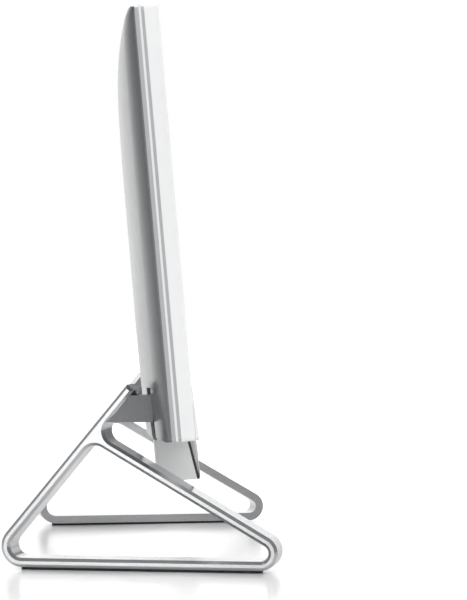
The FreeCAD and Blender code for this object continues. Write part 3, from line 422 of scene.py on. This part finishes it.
def shell_rings(inset, sink):
    """Rings of (across, depth, height) from the seam over the rolled rim to the middle."""
    def ring(reach):
        return rounded_ring(COVER_HALF - inset - reach * SIDE_ROLL,
                            COVER_FOOT + inset + reach * FOOT_ROLL,
                            COVER_TOP - inset - reach * TOP_ROLL, COVER_CORNER)

    rim = ring(0)
    rings = [[(x, depth, z) for x, z in rim] for depth in (SEAM, SEAM + SEAM_EDGE)]
    for step in range(ROLL_STEPS + 1):
        angle = math.radians(90 * step / ROLL_STEPS)
        points = []
        for (x, z), (rim_x, rim_z) in zip(ring(1 - math.cos(angle)), rim):
            sideways = min(max((abs(rim_x) - COVER_HALF + COVER_CORNER) / COVER_CORNER, 0), 1)
            rise = TOP_RISE + (SIDE_RISE - TOP_RISE) * sideways
            room = crown(rim_x, rim_z) - SEAM - 2 * SEAM_EDGE
            drop = min(rise, room) * (1 - math.sin(angle))
            points.append((x, crown(x, z) - drop - sink, z))
        rings.append(points)
    centre = HEIGHT / 2
    last = [(x, z) for x, _, z in rings[-1]]
    for step in range(1, CENTRE_STEPS):
        share = 1 - (step / CENTRE_STEPS) ** CENTRE_POWER
        points = []
        for x, z in last:
            level = centre + (z - centre) * share
            points.append((x * share, crown(x * share, level) - sink, level))
        rings.append(points)
    return rings


def shell_surface(built, rings):
    made = []
    for points in rings:
        made.append([built.verts.new(place(*point)) for point in points])
    for first, second in zip(made, made[1:]):
        bridge(built, first, second)
    middle = built.verts.new(place(0, rings[-1][0][1], HEIGHT / 2))
    count = len(made[-1])
    for index in range(count):
        built.faces.new((made[-1][index], made[-1][(index + 1) % count], middle))
    return made[0]


def cut_box(built, across, depth, height):
    """A block to cut with, between low and high values across, behind and above."""
    corners = []
    for x in across:
        for y in depth:
            for z in height:
                corners.append(built.verts.new(place(x, y, z)))
    for face in ((0, 1, 3, 2), (4, 6, 7, 5), (0, 4, 5, 1), (2, 3, 7, 6), (0, 2, 6, 4), (1, 5, 7, 3)):
        built.faces.new([corners[index] for index in face])


def cut_slot(built, across, height, length, width, depth, along_back=False):
    """A long slot with round ends to cut with, through the back or up through the foot."""
    radius = width / 2
    outline = []
    for hand, start in ((1, -90), (-1, 90)):
        for step in range(SLOT_STEPS + 1):
            angle = math.radians(start + 180 * step / SLOT_STEPS)
            outline.append((hand * (length / 2 - radius) + radius * math.cos(angle),
                            radius * math.sin(angle)))
    rows = []
    for end in depth:
        row = []
        for x, z in outline:
            level = height + z
            spot = (across + x, level, end) if along_back else (across + x, end, level)
            row.append(built.verts.new(place(*spot)))
        rows.append(row)
    bridge(built, rows[0], rows[1])
    built.faces.new(rows[0])
    built.faces.new(rows[1])


# Openings, as low and high ends behind the display's front, across it or above its foot.
CUT_END = 0.060
CUT_DEPTH = (0.030, CUT_END)
SLOT_CUT_DEPTH = (SEAM - 0.002, CUT_END)
SLOT_CUT_FOOT = -0.005
PORT_WINDOW_ACROSS = (-0.100, 0.100)
PORT_WINDOW_HEIGHT = (0.042, 0.062)

TOP_VENT_COLUMNS = 24
TOP_VENT_ROWS = 3
TOP_VENT_START = -0.1224
TOP_VENT_PITCH = 0.0107
TOP_VENT_SHIFT = 0.00535
TOP_VENT_FOOT = 0.2771
TOP_VENT_RISE = 0.006
TOP_VENT_LENGTH = 0.0072
TOP_VENT_WIDTH = 0.0022

FOOT_VENT_COLUMNS = 20
FOOT_VENT_START = -0.1445
FOOT_VENT_PITCH = 0.0152
FOOT_VENT_DEPTHS = (0.029, 0.0235)
FOOT_VENT_LENGTH = 0.009
FOOT_VENT_WIDTH = 0.0036
FOOT_VENT_CUT = (-0.006, 0.006)


def cover_cutters():
    """One mesh of every opening: arm slots, port window and both sets of vents."""
    built = bmesh.new()
    for hand in (-1, 1):
        span = sorted((hand * SLOT_INNER, hand * SLOT_OUTER))
        cut_box(built, span, SLOT_CUT_DEPTH, (SLOT_CUT_FOOT, SLOT_TOP))
    cut_box(built, PORT_WINDOW_ACROSS, CUT_DEPTH, PORT_WINDOW_HEIGHT)
    for column in range(TOP_VENT_COLUMNS):
        for row in range(TOP_VENT_ROWS):
            shift = TOP_VENT_SHIFT if row % 2 else 0
            across = TOP_VENT_START + column * TOP_VENT_PITCH + shift
            height = TOP_VENT_FOOT + row * TOP_VENT_RISE
            cut_slot(built, across, height, TOP_VENT_LENGTH, TOP_VENT_WIDTH, CUT_DEPTH)
    for column in range(FOOT_VENT_COLUMNS):
        across = FOOT_VENT_START + column * FOOT_VENT_PITCH
        for depth in FOOT_VENT_DEPTHS:
            cut_slot(built, across, depth, FOOT_VENT_LENGTH, FOOT_VENT_WIDTH, FOOT_VENT_CUT,
                     along_back=True)
    return to_mesh(built, "cover_cutters")


def smooth_like(mesh, model):
    """Gives a cut mesh the smooth normals of the whole one, except on the cuts' walls."""
    vertices = [vertex.co.copy() for vertex in model.vertices]
    faces = [tuple(face.vertices) for face in model.polygons]
    tree = BVHTree.FromPolygons(vertices, faces)
    normals = []
    for face in mesh.polygons:
        for index in face.vertices:
            spot, _, hit, _ = tree.find_nearest(mesh.vertices[index].co)
            ring = faces[hit]
            weights = poly_3d_calc([vertices[i] for i in ring], spot)
            normal = Vector()
            for weight, corner in zip(weights, ring):
                normal += model.vertices[corner].normal * weight
            normal.normalize()
            alike = normal.dot(face.normal) > SMOOTH_LIMIT
            normals.append(normal if alike else face.normal.copy())
    mesh.shade_smooth()
    mesh.normals_split_custom_set(normals)


def rear_cover():
    built = bmesh.new()
    outer = shell_surface(built, shell_rings(0, 0))
    inner = shell_surface(built, shell_rings(COVER_WALL, COVER_WALL))
    bridge(built, outer, inner)
    mesh = to_mesh(built, "rear_cover_skin")
    model = mesh.copy()
    item = bpy.data.objects.new("cover_work", mesh)
    cutter = bpy.data.objects.new("cover_cutter", cover_cutters())
    for work in (item, cutter):
        bpy.context.scene.collection.objects.link(work)
    modifier = item.modifiers.new("openings", "BOOLEAN")
    modifier.operation = "DIFFERENCE"
    modifier.solver = "EXACT"
    modifier.object = cutter
    bpy.context.view_layer.update()
    evaluated = item.evaluated_get(bpy.context.evaluated_depsgraph_get())
    finished = bpy.data.meshes.new_from_object(evaluated)
    finished.name = "rear_cover_skin"
    smooth_like(finished, model)
    for work in (item, cutter):
        bpy.data.objects.remove(work)
    add_piece("rear_cover_skin", finished, "display", "silver_cover", ["rear_cover"])


# ---------------------------------------------------------------- the loudspeaker grille

GRILLE_HALF = 0.197
GRILLE_FOOT = -0.0327
YARN = 0.0018
STEPS_PER_YARN = 4
WEAVE_HEIGHT = 0.00016

# The cloth leans forward going down, until its lower edge is pulled back.
CLOTH_TOP = 0.0016
CLOTH_LEAN = 0.0027
CLOTH_EDGE = 0.93
CLOTH_EDGE_BAND = 0.07
CLOTH_EDGE_PULL = 0.0012
CLOTH_BACK = 0.0052
CLOTH_BACK_LEAN = 0.0055
CLOTH_SHARP = 50


def grille_front(height):
    """Depth of the cloth's face: a leaning plane, drawn in at its lower edge."""
    share = height / GRILLE_FOOT
    edge = max(share - CLOTH_EDGE, 0) / CLOTH_EDGE_BAND
    return CLOTH_TOP - CLOTH_LEAN * share + CLOTH_EDGE_PULL * edge * edge


def speaker_grille():
    """Cloth over the front of the loudspeaker bar, with its weave as real relief."""
    built = bmesh.new()
    across_count = int(2 * GRILLE_HALF / YARN * STEPS_PER_YARN)
    height_count = int(-GRILLE_FOOT / YARN * STEPS_PER_YARN)

    def across_at(column):
        return -GRILLE_HALF + 2 * GRILLE_HALF * column / across_count

    front = []
    back = []
    for row in range(height_count + 1):
        height = GRILLE_FOOT * row / height_count
        rim = min(row, height_count - row) / STEPS_PER_YARN
        front_row = []
        for column in range(across_count + 1):
            near_end = min(column, across_count - column) / STEPS_PER_YARN
            lift = min(rim, near_end, 1.0)
            wave = math.sin(math.pi * column / STEPS_PER_YARN)
            wave *= math.sin(math.pi * row / STEPS_PER_YARN)
            depth = grille_front(height) + WEAVE_HEIGHT * (1 - lift * (0.5 + 0.5 * wave))
            front_row.append(built.verts.new(place(across_at(column), depth, height)))
        front.append(front_row)
    for row in (0, height_count):
        height = GRILLE_FOOT * row / height_count
        depth = CLOTH_BACK + CLOTH_BACK_LEAN * height / -GRILLE_FOOT
        back.append([built.verts.new(place(across_at(column), depth, height))
                     for column in range(across_count + 1)])
    for row in range(height_count):
        for column in range(across_count):
            built.faces.new((front[row][column], front[row][column + 1],
                             front[row + 1][column + 1], front[row + 1][column]))
    for edge, other in ((front[0], back[0]), (front[-1], back[1])):
        for column in range(across_count):
            built.faces.new((edge[column], edge[column + 1], other[column + 1], other[column]))
    built.faces.new(back[0] + list(reversed(back[1])))
    for column in (0, across_count):
        edge = [front[row][column] for row in range(height_count + 1)]
        built.faces.new(edge + [back[1][column], back[0][column]])
    mesh = to_mesh(built, "speaker_cloth")
    mesh.shade_smooth()
    mesh.set_sharp_from_angle(angle=math.radians(CLOTH_SHARP))
    add_piece("speaker_cloth", mesh, "display", "grille_cloth", ["soundbar_grille"])


# ---------------------------------------------------------------- the studio

FLOOR_HALF = 60.0
BACKDROP_SIDE = (1, 0, 0)

# How far round toward the backdrop, from 0 to 1, and how bright the room is there.
ROOM_STOPS = ((0.0, 0.12), (0.25, 0.20), (0.5, 0.32), (0.86, 0.40), (0.95, 0.85), (1.0, 1.5))

# Each sun's name, the direction it shines from and its power.
SUN_SPREAD = 60
SUNS = (
    ("rear_sun", (0.25, 0.75, 1.0), 2.1),
    ("front_sun", (-0.3, -0.9, 0.9), 1.45),
    ("side_sun", (-1.0, -0.1, 0.45), 0.9),
)

PANEL_SPOT = (-2.6, 1.05, 0.35)
PANEL_TARGET = (0, 0, 0.1)
PANEL_WIDTH = 0.8
PANEL_HEIGHT = 1.6
PANEL_POWER = 9.5

# The lens and sensor are in millimetres, the turn and rise of the aim in degrees.
CAMERA_SPOT = (-1.989, -0.0325, 0.185)
CAMERA_LENS = 139.3
CAMERA_SENSOR = 36
CAMERA_TURN = 1.214
CAMERA_RISE = 0.679
NEAREST_SEEN = 0.05
FARTHEST_SEEN = 60


def studio_floor():
    built = bmesh.new()
    corners = [(-FLOOR_HALF, -FLOOR_HALF), (FLOOR_HALF, -FLOOR_HALF),
               (FLOOR_HALF, FLOOR_HALF), (-FLOOR_HALF, FLOOR_HALF)]
    built.faces.new([built.verts.new((x, y, 0)) for x, y in corners])
    mesh = to_mesh(built, "studio_floor")
    floor = bpy.data.objects.new("studio_floor", mesh)
    bpy.context.scene.collection.objects.link(floor)
    look = Look("floor_paint", (0.84, 0.84, 0.84), 0.18, specular=0.25)
    floor.data.materials.append(look.material)


def studio_world():
    """A room with a bright backdrop on the far side; seen directly it is plain and pale."""
    world = bpy.data.worlds.new("studio")
    world.use_nodes = True
    bpy.context.scene.world = world
    tree = world.node_tree
    tree.nodes.clear()
    add = tree.nodes.new
    coordinate = add("ShaderNodeTexCoord")
    toward = add("ShaderNodeVectorMath")
    toward.operation = "DOT_PRODUCT"
    toward.inputs[1].default_value = BACKDROP_SIDE
    tree.links.new(coordinate.outputs["Generated"], toward.inputs[0])
    ramp = add("ShaderNodeValToRGB")
    ramp.color_ramp.interpolation = "EASE"
    elements = ramp.color_ramp.elements
    while len(elements) < len(ROOM_STOPS):
        elements.new(0.5)
    for element, (position, value) in zip(elements, ROOM_STOPS):
        element.position = position
        element.color = (value, value, value, 1)
    remap = add("ShaderNodeMapRange")
    remap.inputs["From Min"].default_value = -1
    remap.inputs["From Max"].default_value = 1
    tree.links.new(toward.outputs["Value"], remap.inputs["Value"])
    tree.links.new(remap.outputs["Result"], ramp.inputs["Fac"])
    room = add("ShaderNodeBackground")
    tree.links.new(ramp.outputs["Color"], room.inputs["Color"])
    plain = add("ShaderNodeBackground")
    plain.inputs["Color"].default_value = (1, 1, 1, 1)
    path = add("ShaderNodeLightPath")
    mix = add("ShaderNodeMixShader")
    tree.links.new(path.outputs["Is Camera Ray"], mix.inputs["Fac"])
    tree.links.new(room.outputs["Background"], mix.inputs[1])
    tree.links.new(plain.outputs["Background"], mix.inputs[2])
    output = add("ShaderNodeOutputWorld")
    tree.links.new(mix.outputs["Shader"], output.inputs["Surface"])


def soft_sun(name, toward, power):
    """Even light from one side, with soft shadows and no reflection of its own."""
    light = bpy.data.lights.new(name, "SUN")
    light.angle = math.radians(SUN_SPREAD)
    light.energy = power
    item = bpy.data.objects.new(name, light)
    item.rotation_euler = Vector(toward).to_track_quat("Z", "Y").to_euler()
    item.visible_glossy = False
    bpy.context.scene.collection.objects.link(item)


def softbox(name, spot, target, width, height, power):
    """A soft area light aimed at a point."""
    light = bpy.data.lights.new(name, "AREA")
    light.shape = "RECTANGLE"
    light.size = width
    light.size_y = height
    light.energy = power
    item = bpy.data.objects.new(name, light)
    item.location = spot
    item.rotation_euler = (Vector(target) - Vector(spot)).to_track_quat("-Z", "Y").to_euler()
    bpy.context.scene.collection.objects.link(item)


def studio_camera():
    """A long lens at the side, level with the lower half of the display."""
    camera = bpy.data.cameras.new("studio_camera")
    camera.lens = CAMERA_LENS
    camera.sensor_width = CAMERA_SENSOR
    camera.clip_start = NEAREST_SEEN
    camera.clip_end = FARTHEST_SEEN
    item = bpy.data.objects.new("studio_camera", camera)
    item.location = CAMERA_SPOT
    aim = Vector((1, -math.tan(math.radians(CAMERA_TURN)), math.tan(math.radians(CAMERA_RISE))))
    item.rotation_euler = aim.to_track_quat("-Z", "Y").to_euler()
    bpy.context.scene.collection.objects.link(item)
    bpy.context.scene.camera = item
    bpy.context.scene.view_settings.view_transform = "Standard"


dress_nodes()
rear_cover()
speaker_grille()
studio_floor()
studio_world()
for sun_name, sun_toward, sun_power in SUNS:
    soft_sun(sun_name, sun_toward, sun_power)
softbox("side_panel", PANEL_SPOT, PANEL_TARGET, PANEL_WIDTH, PANEL_HEIGHT, PANEL_POWER)
studio_camera()
